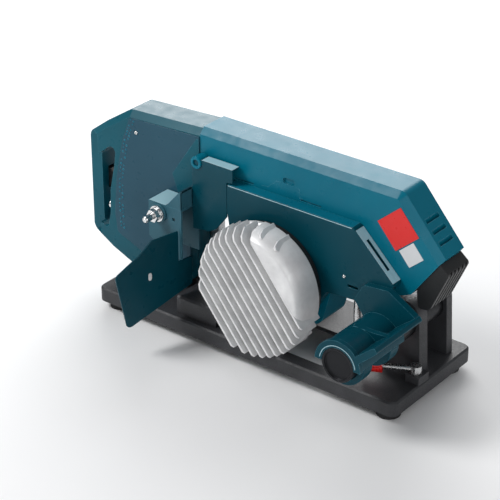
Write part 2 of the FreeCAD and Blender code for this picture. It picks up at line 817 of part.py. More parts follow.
def make_strap(y0):
    """Keeper strap under the tube, bolted to the saddle."""
    y1 = y0 + strap_width
    strap = rod_y(hinge_x, hinge_z, saddle_radius, y0, y1)
    strap = strap.cut(box(hinge_x - 60, hinge_x + 60, y0 - 1, y1 + 1, hinge_z, hinge_z + 60))
    return strap.cut(rod_y(hinge_x, hinge_z, hinge_tube_radius + hinge_gap, y0 - 1, y1 + 1))


def make_hinge_tube():
    """Tube held by both posts and closed at its front end, where the saddle rides."""
    inner = hinge_tube_radius - hinge_tube_wall
    tube = rod_y(hinge_x, hinge_z, hinge_tube_radius, saddle_front, rear_post_back + 4)
    tube = tube.cut(rod_y(hinge_x, hinge_z, inner, saddle_front + 8, rear_post_back + 5))
    return tube.cut(rod_y(hinge_x, hinge_z, inner, saddle_front - 1, saddle_front + 3))


def along_heel(share):
    """Point on the lower edge of the hinge end, from the apex toward the heel."""
    return apex[0] + share * (heel[0] - apex[0]), apex[1] + share * (heel[1] - apex[1])


def make_end_cap():
    """Black ribbed end piece under the sloped end of the bow."""
    upper = along_heel(0.1)
    lower = along_heel(0.84)
    corners = [upper, (apex[0] + 10, apex[1] - 18, 6), (heel[0] + 28, heel[1] - 16, 10),
               (heel[0] + 10, heel[1] - 18, 6), lower]
    cap = plate(corners, 2, back_y)
    groove = [(apex[0] + 19, apex[1] - 7), (apex[0] + 7, apex[1] - 17), (heel[0] + 24, heel[1] - 14),
              (heel[0] + 36, heel[1] - 22)]
    for index in range(5):
        y = 9 + index * 9
        cap = cap.cut(plate(groove, y, y + 3.5))
    return cap


# ---------------------------------------------------------------- guides

roller_offset = roller_radius + blade_thickness / 2 + gap
blade_top = run_low_z + blade_width / 2
head_z = blade_top + 5
head_top = head_z + 10
rail_front = blade_y + 11
rail_back = rail_front + 8
rail_z = throat_top - rail_height
knob_x = guide_left_x
knob_z = rail_z - 5


def guide_head(x):
    """Head over the blade with two roller pins and pads above the blade's back."""
    shapes = [box(x - 9, x + 9, blade_y - 14, rail_back + 2, head_z, head_top)]
    for x0 in (x - 9, x + 6.5):
        shapes.append(box(x0, x0 + 2.5, blade_y - 3, blade_y + 3, blade_top + gap, head_z + 1))
    for side in (-1, 1):
        y = blade_y + side * roller_offset
        shapes.append(rod_z(x, y, roller_pin_radius, table_top + 2.6, head_z + 1))
        shapes.append(rod_z(x, y, roller_pin_radius + 1.7, table_top + 1.4, table_top + 2.7))
    return shapes


def make_left_guide_arm():
    """Guide that slides on the rail, with its post and roller head."""
    post = box(guide_left_x - 9, guide_left_x + 7, rail_front - 3, rail_back + 3, head_z, rail_z)
    block = box(guide_left_x - 9.6, guide_left_x + 10, rail_front - 4, rail_back + 3.6,
                rail_z - 10, throat_top - 0.4)
    arm = fused(guide_head(guide_left_x) + [post, block])
    slide = box(guide_left_x - 20, guide_left_x + 20, rail_front - 0.15, rail_back + 0.15,
                rail_z - 0.15, throat_top + 1)
    return arm.cut(slide).cut(rod_y(knob_x, knob_z, 4.1, rail_back - 3, rail_back + 11))


def make_right_guide_arm():
    """Guide fixed at the drive side of the throat."""
    post = box(guide_right_x - 6, throat_right, rail_front - 3, rail_back + 3, head_z, rail_z)
    block = box(guide_right_x - 8, throat_right, rail_front - 3, rail_back + 3, rail_z - 10, throat_top)
    arm = fused(guide_head(guide_right_x) + [post, block])
    return arm.cut(box(guide_right_x - 20, guide_right_x + 20, rail_front, rail_back, rail_z, throat_top + 1))


def make_guide_rail():
    return box(throat_left, throat_right, rail_front, rail_back, rail_z, throat_top)


def make_guide_knob():
    """Fluted knob whose screw clamps the sliding guide to its rail."""
    screw = rod_y(knob_x, knob_z, 4, rail_back - 2.5, rail_back + 4.5)
    grip = rod_y(knob_x, knob_z, guide_knob_radius, rail_back + 4, rail_back + 18)
    for index in range(6):
        angle = math.radians(60 * index)
        x = knob_x + (guide_knob_radius + 2) * math.cos(angle)
        z = knob_z + (guide_knob_radius + 2) * math.sin(angle)
        grip = grip.cut(rod_y(x, z, 4, rail_back, rail_back + 20))
    return fused([screw, grip])


def make_roller(x, side):
    y = blade_y + side * roller_offset
    return ring_z(x, y, roller_radius, roller_pin_radius + fit / 2, table_top + 3, head_z - gap)


# ---------------------------------------------------------------- base

def foot_places():
    """Front left foot first: the origin lies under its middle."""
    return [
        (tray_left + foot_inset, tray_front + foot_inset),
        (tray_left + foot_inset, tray_back - foot_inset),
        (tray_right - foot_inset, tray_front + foot_inset),
        (tray_right - foot_inset, tray_back - foot_inset),
    ]


def make_base_tray():
    """Skirted base casting, open under the drive side and under the vise bed."""
    around = [
        (tray_left, tray_front, 12),
        (tray_right, tray_front, 12),
        (tray_right, tray_back, 12),
        (tray_left, tray_back, 12),
    ]
    body = plate_z(around, foot_height, tray_top)
    inner = flat_outline(around).makeOffset2D(-tray_wall)
    room = extrude_z(inner, foot_height - 1, tray_top - tray_wall)
    body = body.cut(room)
    rim = [edge for edge in body.Edges
           if abs(edge.BoundBox.ZMin - tray_top) < 1e-6 and abs(edge.BoundBox.ZMax - tray_top) < 1e-6]
    body = body.makeChamfer(2.5, rim)
    # Open floor beside the table, under the wheel of the drive side
    window = [(throat_right + 20, tray_front + 22, 8), (hinge_x - 81, tray_front + 22, 8),
              (hinge_x - 81, blade_y + 16, 8), (throat_right + 20, blade_y + 16, 8)]
    body = body.cut(plate_z(window, 0, tray_top + 5))
    # The vise bed is hollow from below, through the floor
    body = body.cut(box(bed_left + 6, bed_right - 6, bed_front + 6, bed_back - 6, 0, tray_top + 5))
    for x in (tray_left + bench_hole_inset, hinge_x - bench_hole_setback):
        body = body.cut(rod_z(x, bench_hole_y, bench_hole_radius, 0, tray_top + 5))
    return body


def make_table_strip():
    """Raised strip that the work lies on, with the groove the blade and guides enter."""
    strip = box(table_left, table_right, table_front, bed_front, tray_top, table_top)
    front = [edge for edge in strip.Edges
             if abs(edge.CenterOfMass.y - table_front) < 1e-6 and abs(edge.CenterOfMass.z - table_top) < 1e-6]
    strip = strip.makeChamfer(3, front)
    groove = box(table_left - 5, table_right + 5, blade_y - 16, blade_y + 16, table_top - 4, table_top + 5)
    slot = box(table_left - 5, table_right + 5, blade_y - blade_slot / 2, blade_y + blade_slot / 2,
               table_top - blade_slot_depth, table_top + 5)
    return strip.cut(groove).cut(slot)


def make_vise_bed():
    """Hollow bed with the slideway of the moving jaw."""
    bed = box(bed_left, bed_right, bed_front, bed_back, tray_top, table_top)
    bed = bed.cut(box(bed_left + 6, bed_right - 6, bed_front + 6, bed_back - 6, tray_top - 1, table_top - 10))
    return bed.cut(box(bed_left + 38, bed_right - 88, vise_y - 8, vise_y + 8, table_top - 12, table_top + 1))


def make_hinge_post(y0, y1):
    """Tapered post round the hinge tube."""
    spread = hinge_tube_radius + 10
    corners = [(hinge_x - spread, tray_top), (hinge_x - spread + 6, hinge_z + spread - 2, 22),
               (hinge_x + spread - 6, hinge_z + spread - 2, 22), (hinge_x + spread, tray_top)]
    return plate(corners, y0, y1).cut(rod_y(hinge_x, hinge_z, hinge_tube_radius, y0 - 1, y1 + 1))


def make_front_post():
    """Front post with the lug that the clamp lever screws into."""
    post = make_hinge_post(front_post_front, front_post_back)
    lug_front = front_post_front - 24
    lug_top = tray_top + lug_height
    lug = box(tray_right - 22, tray_right, lug_front, front_post_front + 1, tray_top, lug_top)
    return fused([post, lug])


def make_rear_post():
    return make_hinge_post(rear_post_front, rear_post_back)


def make_foot(x, y):
    """Rubber foot with a stem that seats against the underside of the tray's floor."""
    pad = Part.makeCone(foot_radius, foot_radius - 3, foot_height, Vector(x, y, 0), Vector(0, 0, 1))
    stem = rod_z(x, y, foot_stem_radius, foot_height - 1, tray_top - tray_wall)
    return fused([pad, stem])


down_stop_x = hinge_x - down_stop_setback
down_stop_y = 6.0
down_stop_low = belly[1] - belly_rise + (down_stop_x - down_stop_radius - belly_start) * belly_slope
down_stop_top = down_stop_low - seat_gap


def make_down_stop():
    """Bolt on the base that the lowered bow rests on."""
    shank = rod_z(down_stop_x, down_stop_y, 5, tray_top, down_stop_top - 6)
    head = rod_z(down_stop_x, down_stop_y, down_stop_radius, down_stop_top - 9, down_stop_top)
    nut = rod_z(down_stop_x, down_stop_y, 10, tray_top, tray_top + 9)
    return fused([shank, head, nut])


lever_x = tray_right - 12
lever_y = front_post_front - 13
lever_z = tray_top + lug_height + 6


def make_clamp_lever():
    """Grey rod with its hub, swinging over the split lug."""
    hub = rod_z(lever_x, lever_y, 8, lever_z - 5.7, lever_z + 6)
    arm = rod_x(0, 0, 4, 22 - lever_length, -4)
    arm.rotate(Vector(0, 0, 0), Vector(0, 0, 1), lever_angle)
    arm.translate(Vector(lever_x, lever_y, lever_z))
    return fused([hub, arm])


def make_clamp_knob():
    """Ribbed red knob on the end of the clamp lever."""
    knob = rod_x(0, 0, 10, -lever_length - 2, 24 - lever_length)
    for index in range(8):
        angle = math.radians(45 * index)
        y = 11.5 * math.cos(angle)
        z = 11.5 * math.sin(angle)
        flute = rod_x(y, z, 2.6, -lever_length - 3, 20 - lever_length)
        knob = knob.cut(flute)
    knob = knob.cut(rod_x(0, 0, 4, 9 - lever_length, 30 - lever_length))
    knob.rotate(Vector(0, 0, 0), Vector(0, 0, 1), lever_angle)
    knob.translate(Vector(lever_x, lever_y, lever_z))
    return knob


# ---------------------------------------------------------------- vise

jaw_pivot_x = fixed_jaw_x + 24
jaw_pivot_y = jaw_front + 14


def make_fixed_jaw():
    """Fixed jaw that pivots on the bed for mitre cuts."""
    x0 = fixed_jaw_x
    low = table_top + gap
    face = box(x0, x0 + jaw_thickness, jaw_front, jaw_front + jaw_length, low, table_top + jaw_height)
    sole = plate_z([(x0, jaw_front), (x0 + 44, jaw_front + 6, 10), (x0 + 46, jaw_front + 50, 10),
                    (x0, jaw_front + jaw_length)], low, table_top + 10)
    rib_side = [(x0 + 6, table_top + 6), (x0 + 40, table_top + 6), (x0 + 40, table_top + 12),
                (x0 + 16, table_top + 38, 8), (x0 + 6, table_top + 38)]
    rib = plate(rib_side, vise_y - 2, vise_y + 6)
    jaw = fused([face, sole, rib])
    bore = rod_z(jaw_pivot_x, jaw_pivot_y, jaw_pivot_radius + fit / 2, table_top - 5, table_top + 15)
    return jaw.cut(bore)


def make_jaw_pivot():
    pin = rod_z(jaw_pivot_x, jaw_pivot_y, jaw_pivot_radius, table_top, table_top + 11)
    head = rod_z(jaw_pivot_x, jaw_pivot_y, jaw_pivot_radius + 3.5, table_top + 10.3, table_top + 16)
    return fused([pin, head])


def make_moving_jaw():
    """Moving jaw on its slide block, pushed by the vise screw."""
    x1 = moving_jaw_x
    low = table_top + gap
    face = box(x1 - jaw_thickness, x1, jaw_front, jaw_front + jaw_length, low, table_top + jaw_height)
    sole = box(x1 - 42, x1, jaw_front + 8, jaw_front + 50, low, table_top + 9)
    tongue = box(x1 - 42, x1, vise_y - 7.7, vise_y + 7.7, table_top - 7, table_top + 1)
    web = box(x1 - 40, x1 - 4, vise_y - 5, vise_y + 5, table_top + 5, table_top + 15)
    boss = rod_x(vise_y, vise_screw_z, 13, x1 - 28, x1 - 6)
    bore = rod_x(vise_y, vise_screw_z, vise_screw_radius - 1 + fit / 2, x1 - 30, x1 - 12)
    return fused([face, sole, tongue, web, boss]).cut(bore)


def make_vise_nut():
    """Threaded block that carries the vise screw."""
    x0 = bed_left + 6
    side = [(vise_y - 18, table_top), (vise_y - 18, vise_screw_z + 16, 8), (vise_y + 18, vise_screw_z + 16, 8),
            (vise_y + 18, table_top)]
    block = plate(side, -x0 - 20, -x0)
    block.rotate(Vector(0, 0, 0), Vector(0, 0, 1), 90)
    return block.cut(rod_x(vise_y, vise_screw_z, vise_screw_radius + fit / 2, x0 - 20, x0 + 40))


handwheel_x = bed_left - 78


def make_vise_screw():
    screw = rod_x(vise_y, vise_screw_z, vise_screw_radius, handwheel_x + 6, moving_jaw_x - 29)
    tip = rod_x(vise_y, vise_screw_z, vise_screw_radius - 1, moving_jaw_x - 30, moving_jaw_x - 12.3)
    return fused([screw, tip])


def make_vise_wheel():
    """Handwheel on the vise screw, with three spokes."""
    x = handwheel_x
    rim = ring_x(vise_y, vise_screw_z, handwheel_radius, handwheel_radius - 10, x - 5, x + 5)
    corners = [edge for edge in rim.Edges if edge.Curve.TypeId == "Part::GeomCircle"]
    rim = rim.makeChamfer(2.5, corners)
    hub = rod_x(vise_y, vise_screw_z, 13, x - 10, x + 14)
    shapes = [rim, hub]
    for index in range(3):
        angle = 120 * index + 90
        spoke = box(x - 3, x + 3, vise_y + 10, vise_y + handwheel_radius - 8,
                    vise_screw_z - 5, vise_screw_z + 5)
        spoke.rotate(Vector(x, vise_y, vise_screw_z), Vector(1, 0, 0), angle)
        shapes.append(spoke)
    return fused(shapes).cut(rod_x(vise_y, vise_screw_z, vise_screw_radius, x + 5, x + 30))


# ---------------------------------------------------------------- small parts

def make_cover_screw(x, z):
    """Pan-head screw of the back cover, with its driver slot."""
    y = back_y + back_cover_thickness
    head = rod_y(x, z, 5, y, y + 3)
    return head.cut(box(x - 6, x + 6, y + 2, y + 5, z - 0.7, z + 0.7))


def cover_screw_places():
    high = bow_top - 39
    return [(idler_x - 44, high), (-20, high), (120, high), (hinge_x - 41, high),
            (idler_x - 54, wheel_z - 30), (drive_x + cheek + 4, belly[1] + 10),
            (throat_right + 10, wheel_z + 28), (throat_left - 9, wheel_z - 48)]


def make_cable_gland():
    """Cable gland on the back of the hinge end, with no cord in it."""
    x = heel[0] - 4
    y = back_y + back_cover_thickness
    z = heel[1] + 46
    sleeve = rod_y(x, z, 9, y, y + 16)
    nut = rod_y(x, z, 12, y, y + 6)
    return fused([sleeve, nut]).cut(rod_y(x, z, 4, y + 2, y + 20))


# ---------------------------------------------------------------- build

def main():
    os.makedirs("parts", exist_ok=True)
    save("bow_housing", make_bow_housing())
    save("left_housing", make_left_housing())
    save("left_panel", make_left_panel())
    save("back_cover", make_back_cover())
    save("trigger", make_trigger())
    save("drive_wheel", make_wheel(drive_x, drive_shaft_radius))
    save("drive_tyre", make_tyre(drive_x))
    save("drive_shaft", make_drive_shaft())
    save("idler_wheel", make_wheel(idler_x, bearing_radius))
    save("idler_tyre", make_tyre(idler_x))
    save("idler_bearing", make_bearing(idler_x))
    save("idler_carriage", make_idler_carriage())
    save("tension_screw", make_tension_screw())
    save("blade", make_blade())
    save("motor_tray", make_motor_tray())
    save("stop_bracket", make_stop_bracket())
    save("bracket_bush", make_bracket_bush())
    save("stop_mount", make_stop_mount())
    save("stop_stud", make_stop_stud())
    save("work_stop", make_work_stop())
    save("motor_body", make_motor_body())
    save("motor_fin_cover", make_fin_cover())
    save("square_label", make_square_label())
    save("plain_label", make_plain_label())
    save("hinge_saddle", make_saddle())
    back_strap = saddle_back - strap_inset - strap_width
    save("saddle_straps", make_strap(saddle_front + strap_inset), make_strap(back_strap))
    save("hinge_tube", make_hinge_tube())
    save("end_cap", make_end_cap())
    save("left_guide_arm", make_left_guide_arm())
    save("right_guide_arm", make_right_guide_arm())
    save("guide_rail", make_guide_rail())
    save("guide_knob", make_guide_knob())
    save("guide_roller_left_front", make_roller(guide_left_x, -1))
    save("guide_roller_left_back", make_roller(guide_left_x, 1))
    save("guide_roller_right_front", make_roller(guide_right_x, -1))
    save("guide_roller_right_back", make_roller(guide_right_x, 1))
    save("base_tray", make_base_tray())
    save("table_strip", make_table_strip())
    save("vise_bed", make_vise_bed())
    save("front_hinge_post", make_front_post())
    save("rear_hinge_post", make_rear_post())
    save("rubber_feet", *[make_foot(x, y) for x, y in foot_places()])
    save("down_stop", make_down_stop())
    save("clamp_lever", make_clamp_lever())
    save("clamp_knob", make_clamp_knob())
    save("fixed_jaw", make_fixed_jaw())
    save("jaw_pivot", make_jaw_pivot())
    save("moving_jaw", make_moving_jaw())
    save("vise_nut", make_vise_nut())
    save("vise_screw", make_vise_screw())
    save("vise_wheel", make_vise_wheel())
    save("cover_screws", *[make_cover_screw(x, z) for x, z in cover_screw_places()])
    save("cable_gland", make_cable_gland())


main()
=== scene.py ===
# %% [markdown]
# # Portable horizontal band saw
# The construction arrives as a fixed frame of rigid nodes. This lesson gives every
# node a finish, softens its edges, and adds the small things that a maker sees on
# the bench: fins, screws, dots, pressed lines and folded sheets, with stickers left bare.

# %% Load the frame
import json
import math

import bmesh
import bpy
from mathutils import Matrix, Vector


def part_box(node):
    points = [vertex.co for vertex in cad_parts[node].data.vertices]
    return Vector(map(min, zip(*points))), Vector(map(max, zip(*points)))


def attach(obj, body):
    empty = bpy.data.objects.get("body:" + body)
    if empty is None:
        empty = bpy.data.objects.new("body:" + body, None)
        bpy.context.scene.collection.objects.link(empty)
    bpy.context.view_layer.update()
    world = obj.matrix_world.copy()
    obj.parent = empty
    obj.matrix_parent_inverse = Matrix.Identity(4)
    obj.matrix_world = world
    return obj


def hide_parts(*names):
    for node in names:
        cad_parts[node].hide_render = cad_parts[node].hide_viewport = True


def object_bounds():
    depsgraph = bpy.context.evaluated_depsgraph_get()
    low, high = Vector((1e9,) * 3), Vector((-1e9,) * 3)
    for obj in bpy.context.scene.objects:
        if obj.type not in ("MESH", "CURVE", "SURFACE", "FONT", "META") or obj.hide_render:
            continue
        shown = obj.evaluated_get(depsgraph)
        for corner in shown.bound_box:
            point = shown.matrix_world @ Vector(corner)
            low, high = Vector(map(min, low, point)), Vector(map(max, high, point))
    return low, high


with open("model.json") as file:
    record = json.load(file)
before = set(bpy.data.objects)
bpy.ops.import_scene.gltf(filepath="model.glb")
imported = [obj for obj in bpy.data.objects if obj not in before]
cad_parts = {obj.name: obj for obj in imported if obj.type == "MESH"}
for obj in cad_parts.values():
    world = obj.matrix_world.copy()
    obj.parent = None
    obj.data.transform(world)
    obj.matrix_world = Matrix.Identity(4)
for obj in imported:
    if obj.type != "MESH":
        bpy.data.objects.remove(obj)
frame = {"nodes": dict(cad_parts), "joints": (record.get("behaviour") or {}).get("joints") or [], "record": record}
nodes = frame["nodes"]
cad_low, cad_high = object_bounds()

# %% [markdown]
# ## One place to measure from
# A maker measures the saw from three faces: the joint line between the two halves of
# the bow, the bow's front face, and the floor. Every place below is in millimetres
# from those, read from the frame, so nothing has to be fitted by eye.

# %% Places in millimetres
joint_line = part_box("bow_housing")[0][0]
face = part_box("bow_housing")[0][1]
floor_z = cad_low[2]
MM = 0.001


def at(x, y, z):
    return Vector((joint_line + x * MM, face + y * MM, floor_z + z * MM))


drive = next(joint for joint in frame["joints"] if joint["name"] == "drive_spin")
drive_x = (drive["pos_m"][0] - joint_line) / MM
wheel_z = (drive["pos_m"][2] - floor_z) / MM
print("drive axis at", round(drive_x, 1), round(wheel_z, 1))

# %% [markdown]
# ## Small helpers for materials
# Every finish here is a tree of nodes on Object coordinates, in metres, so a scale
# of 1000 gives a pattern of about a millimetre. One class keeps the wiring short.


# %% A short way to wire a finish
class Finish:
    """One procedural material with a Principled shader and Object coordinates."""

    def __init__(self, name, color, roughness, metallic=0.0):
        self.material = bpy.data.materials.new(name)
        self.material.use_nodes = True
        self.tree = self.material.node_tree
        self.shader = self.tree.nodes["Principled BSDF"]
        self.shader.inputs["Base Color"].default_value = (*color, 1.0)
        self.shader.inputs["Roughness"].default_value = roughness
        self.shader.inputs["Metallic"].default_value = metallic
        self.place = self.tree.nodes.new("ShaderNodeTexCoord").outputs["Object"]

    def link(self, source, target):
        self.tree.links.new(source, target)

    def noise(self, scale, detail=2.0, stretch=(1, 1, 1)):
        mapping = self.tree.nodes.new("ShaderNodeMapping")
        mapping.inputs["Scale"].default_value = stretch
        self.link(self.place, mapping.inputs["Vector"])
        texture = self.tree.nodes.new("ShaderNodeTexNoise")
        texture.inputs["Scale"].default_value = scale
        texture.inputs["Detail"].default_value = detail
        self.link(mapping.outputs["Vector"], texture.inputs["Vector"])
        return texture.outputs["Fac"]

    def ramp(self, value, low, high, start=0.3, end=0.7):
        node = self.tree.nodes.new("ShaderNodeValToRGB")
        node.color_ramp.elements[0].position = start
        node.color_ramp.elements[0].color = (*low, 1.0)
        node.color_ramp.elements[1].position = end
        node.color_ramp.elements[1].color = (*high, 1.0)
        self.link(value, node.inputs["Fac"])
        return node.outputs["Color"]

    def range(self, value, low, high, start=0.3, end=0.7):
        node = self.tree.nodes.new("ShaderNodeMapRange")
        node.inputs["From Min"].default_value = start
        node.inputs["From Max"].default_value = end
        node.inputs["To Min"].default_value = low
        node.inputs["To Max"].default_value = high
        self.link(value, node.inputs["Value"])
        return node.outputs["Result"]

    def color(self, value):
        self.link(value, self.shader.inputs["Base Color"])

    def rough(self, value):
        self.link(value, self.shader.inputs["Roughness"])

    def bump(self, height, strength, distance):
        node = self.tree.nodes.new("ShaderNodeBump")
        node.inputs["Strength"].default_value = strength
        node.inputs["Distance"].default_value = distance
        last = self.shader.inputs["Normal"]
        if last.is_linked:
            self.link(last.links[0].from_socket, node.inputs["Normal"])
        self.link(height, node.inputs["Height"])
        self.link(node.outputs["Normal"], last)

    def worn_edges(self, base, worn, radius=0.0009, share=0.75):
        """A paler colour where the surface turns a corner, broken up by noise."""
        edge = self.tree.nodes.new("ShaderNodeBevel")
        edge.samples = 6
        edge.inputs["Radius"].default_value = radius
        flat = self.tree.nodes.new("ShaderNodeNewGeometry")
        turn = self.tree.nodes.new("ShaderNodeVectorMath")
        turn.operation = "DOT_PRODUCT"
        self.link(edge.outputs["Normal"], turn.inputs[0])
        self.link(flat.outputs["Normal"], turn.inputs[1])
        corner = self.range(turn.outputs["Value"], share, 0.0, 0.80, 0.97)
        patchy = self.tree.nodes.new("ShaderNodeMath")
        patchy.operation = "MULTIPLY"
        self.link(corner, patchy.inputs[0])
        self.link(self.range(self.noise(170, 4), 0.25, 1.0, 0.38, 0.60), patchy.inputs[1])
        mix = self.tree.nodes.new("ShaderNodeMix")
        mix.data_type = "RGBA"
        self.link(patchy.outputs["Value"], mix.inputs["Factor"])
        self.link(base, mix.inputs[6])
        mix.inputs[7].default_value = (*worn, 1.0)
        self.color(mix.outputs[2])


# %% [markdown]
# ## Teal gloss paint
# The bow is a painted metal shell: an even enamel with a faint orange-peel ripple.
# The ripple is a low bump of about 2 mm, the colour drifts slightly so that large
# faces are not dead flat, and the paint is rubbed paler where a sheet turns a corner.


# %% Gloss enamel in three shades
def enamel(name, dark, light, worn, roughness, peel=0.10):
    finish = Finish(name, dark, roughness)
    body = finish.ramp(finish.noise(9, 3), dark, light)
    finish.worn_edges(body, worn)
    finish.rough(finish.range(finish.noise(60, 4), roughness * 0.85, roughness * 1.3))
    finish.bump(finish.noise(480, 2), peel, 0.0002)
    finish.shader.inputs["Specular IOR Level"].default_value = 0.16
    return finish.material


pale_edge = (0.16, 0.46, 0.58)
teal = enamel("teal gloss enamel", (0.0004, 0.135, 0.205), (0.0008, 0.165, 0.245), pale_edge, 0.30)
deep_teal = enamel("deep teal enamel", (0.0004, 0.050, 0.074), (0.0008, 0.062, 0.090), pale_edge, 0.30)
grip_teal = enamel("grip teal enamel", (0.0010, 0.080, 0.115), (0.0018, 0.100, 0.140), pale_edge, 0.30)
# A greyer, darker copy of the teal for the left panel: painted shade and reflection, for the shade it lies in and
# the grey it mirrors.
panel_shade_teal = enamel("panel shade and reflection enamel", (0.016, 0.070, 0.108), (0.021, 0.084, 0.126), pale_edge, 0.30)
# A paler, greyer copy of the teal for the stop mount, its wing and the stud's seat: painted light, for the light
# their faces catch.
mount_highlight_teal = enamel("mount painted highlight enamel", (0.030, 0.110, 0.150), (0.038, 0.130, 0.172), pale_edge, 0.30)
# A pale copy of the teal that is painted highlight: it stands for sky reflected in tops and flanges.
painted_highlight_teal = enamel("painted highlight enamel", (0.30, 0.52, 0.60), (0.42, 0.64, 0.70), (0.75, 0.85, 0.88), 0.32)
stop_teal = enamel("stop sheet enamel", (0.0004, 0.042, 0.062), (0.0008, 0.052, 0.076), pale_edge, 0.30)
print("enamels made")

# %% [markdown]
# ## Cast aluminium
# The finned motor cover is a die casting, shot-blasted and left bare: bright,
# slightly grainy, with a fine speckle in both roughness and height.

# %% Cast, machined and plated metals
cast = Finish("blasted cast aluminium", (0.86, 0.86, 0.86), 0.44, 0.35)
cast.color(cast.ramp(cast.noise(40, 5), (0.74, 0.74, 0.745), (0.92, 0.92, 0.92)))
cast.rough(cast.range(cast.noise(300, 3), 0.40, 0.58))
cast.bump(cast.noise(1400, 3), 0.40, 0.0003)

machined = Finish("machined aluminium", (0.62, 0.63, 0.64), 0.3, 1.0)
machined.rough(machined.range(machined.noise(900, 2, (1, 0.04, 1)), 0.22, 0.42))
machined.bump(machined.noise(1600, 1, (1, 0.03, 1)), 0.12, 0.0002)

zinc = Finish("bright zinc plate", (0.72, 0.73, 0.74), 0.24, 1.0)
zinc.color(zinc.ramp(zinc.noise(120, 3), (0.60, 0.61, 0.62), (0.80, 0.80, 0.79)))
zinc.rough(zinc.range(zinc.noise(400, 2), 0.18, 0.34))

blade_steel = Finish("hardened blade steel", (0.32, 0.31, 0.30), 0.33, 1.0)
blade_steel.rough(blade_steel.range(blade_steel.noise(700, 2, (0.03, 1, 1)), 0.25, 0.45))

dark_steel = Finish("black oxide steel", (0.018, 0.019, 0.022), 0.36, 0.7)
dark_steel.rough(dark_steel.range(dark_steel.noise(200, 4), 0.28, 0.5))
dark_steel.bump(dark_steel.noise(900, 3), 0.1, 0.0002)
print("metals made")

# %% [markdown]
# ## Base paint, plastics and rubber
# The base is a sand casting under dark wrinkle paint. Handles and caps are
# fine-textured plastic, and the feet and tyres are dull rubber.

# %% Dark base paint, plastics, rubber and stickers
base_paint = Finish("charcoal wrinkle paint", (0.030, 0.031, 0.035), 0.5)
base_paint.color(base_paint.ramp(base_paint.noise(30, 4), (0.024, 0.025, 0.028), (0.042, 0.043, 0.048)))
base_paint.rough(base_paint.range(base_paint.noise(500, 3), 0.42, 0.66))
base_paint.bump(base_paint.noise(1100, 4), 0.5, 0.0004)

black_plastic = Finish("textured black plastic", (0.012, 0.013, 0.014), 0.45)
black_plastic.rough(black_plastic.range(black_plastic.noise(800, 2), 0.38, 0.58))
black_plastic.bump(black_plastic.noise(2400, 2), 0.35, 0.0002)

rubber = Finish("dull black rubber", (0.016, 0.016, 0.017), 0.75)
rubber.color(rubber.ramp(rubber.noise(80, 4), (0.012, 0.012, 0.013), (0.026, 0.026, 0.027)))
rubber.bump(rubber.noise(1500, 3), 0.3, 0.0003)

red_plastic = Finish("red gloss plastic", (0.62, 0.012, 0.010), 0.28)
red_plastic.rough(red_plastic.range(red_plastic.noise(300, 2), 0.22, 0.36))
red_plastic.bump(red_plastic.noise(900, 2), 0.08, 0.0002)

red_film = Finish("red vinyl film", (0.78, 0.010, 0.008), 0.32)
red_film.rough(red_film.range(red_film.noise(120, 3), 0.26, 0.42))
red_film.bump(red_film.noise(260, 2), 0.06, 0.0002)

light_film = Finish("pale vinyl film", (0.72, 0.74, 0.75), 0.35)
light_film.rough(light_film.range(light_film.noise(120, 3), 0.28, 0.44))
light_film.bump(light_film.noise(260, 2), 0.06, 0.0002)

slot_finish = {
    "teal_paint": teal,
    "dark_teal_paint": deep_teal,
    "cast_alu": cast.material,
    "machined_alu": machined.material,
    "zinc": zinc.material,
    "blade_steel": blade_steel.material,
    "black_plastic": black_plastic.material,
    "rubber": rubber.material,
    "red_plastic": red_plastic.material,
    "base_cast": base_paint.material,
    "dark_steel": dark_steel.material,
    "red_sticker": red_film.material,
    "light_sticker": light_film.material,
}

# %% [markdown]
# ## Finish every node
# The record names a material slot for each node. The node keeps its own mesh; a
# merged copy with softened edges stands for it where an edge would catch light.

# %% Give each node the finish of its slot
node_slot = {part["node"]: part["material_slot"] for part in frame["record"]["subparts"]}
node_finish = {name: slot_finish[slot] for name, slot in node_slot.items()}
node_finish["left_housing"] = grip_teal
# The left panel's greyer teal is painted shade and reflection.
node_finish["left_panel"] = panel_shade_teal
# The stop mount's paler teal is painted light.
node_finish["stop_mount"] = mount_highlight_teal
for name, node in nodes.items():
    node.data.materials.clear()
    node.data.materials.append(node_finish[name])
piece_body = {}
for body, members in frame["record"]["behaviour"]["bodies"].items():
    for member in members:
        piece_body[member] = body
print("finished nodes", len(node_finish))

# %% [markdown]
# ## Soft edges
# No pressed sheet or casting ends in a knife edge. A narrow bevel catches a line of
# light along each edge, and face-weighted normals keep the large faces truly flat.
# The bevel is a modifier on a merged copy, because it follows whatever the node is.


# %% A bevel and flat-face shading for one piece
def round_edges(piece, width, segments=2, angle=30.0):
    piece.data.shade_smooth()
    bevel = piece.modifiers.new("Soft edges", "BEVEL")
    bevel.width = width
    bevel.segments = segments
    bevel.limit_method = "ANGLE"
    bevel.angle_limit = math.radians(angle)
    bevel.use_clamp_overlap = True
    weigh = piece.modifiers.new("Flat faces", "WEIGHTED_NORMAL")
    weigh.mode = "FACE_AREA"
    weigh.weight = 80


def soften(name, width, segments=2):
    """A merged copy of a node with bevelled edges, which stands for the node."""
    mesh = nodes[name].data.copy()
    work = bmesh.new()
    work.from_mesh(mesh)
    bmesh.ops.remove_doubles(work, verts=work.verts, dist=2e-6)
    bmesh.ops.dissolve_limit(work, angle_limit=math.radians(0.3), verts=work.verts, edges=work.edges)
    work.to_mesh(mesh)
    work.free()
    piece = bpy.data.objects.new(name + "_soft", mesh)
    bpy.context.scene.collection.objects.link(piece)
    round_edges(piece, width, segments)
    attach(piece, piece_body[name])
    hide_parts(name)
    return piece


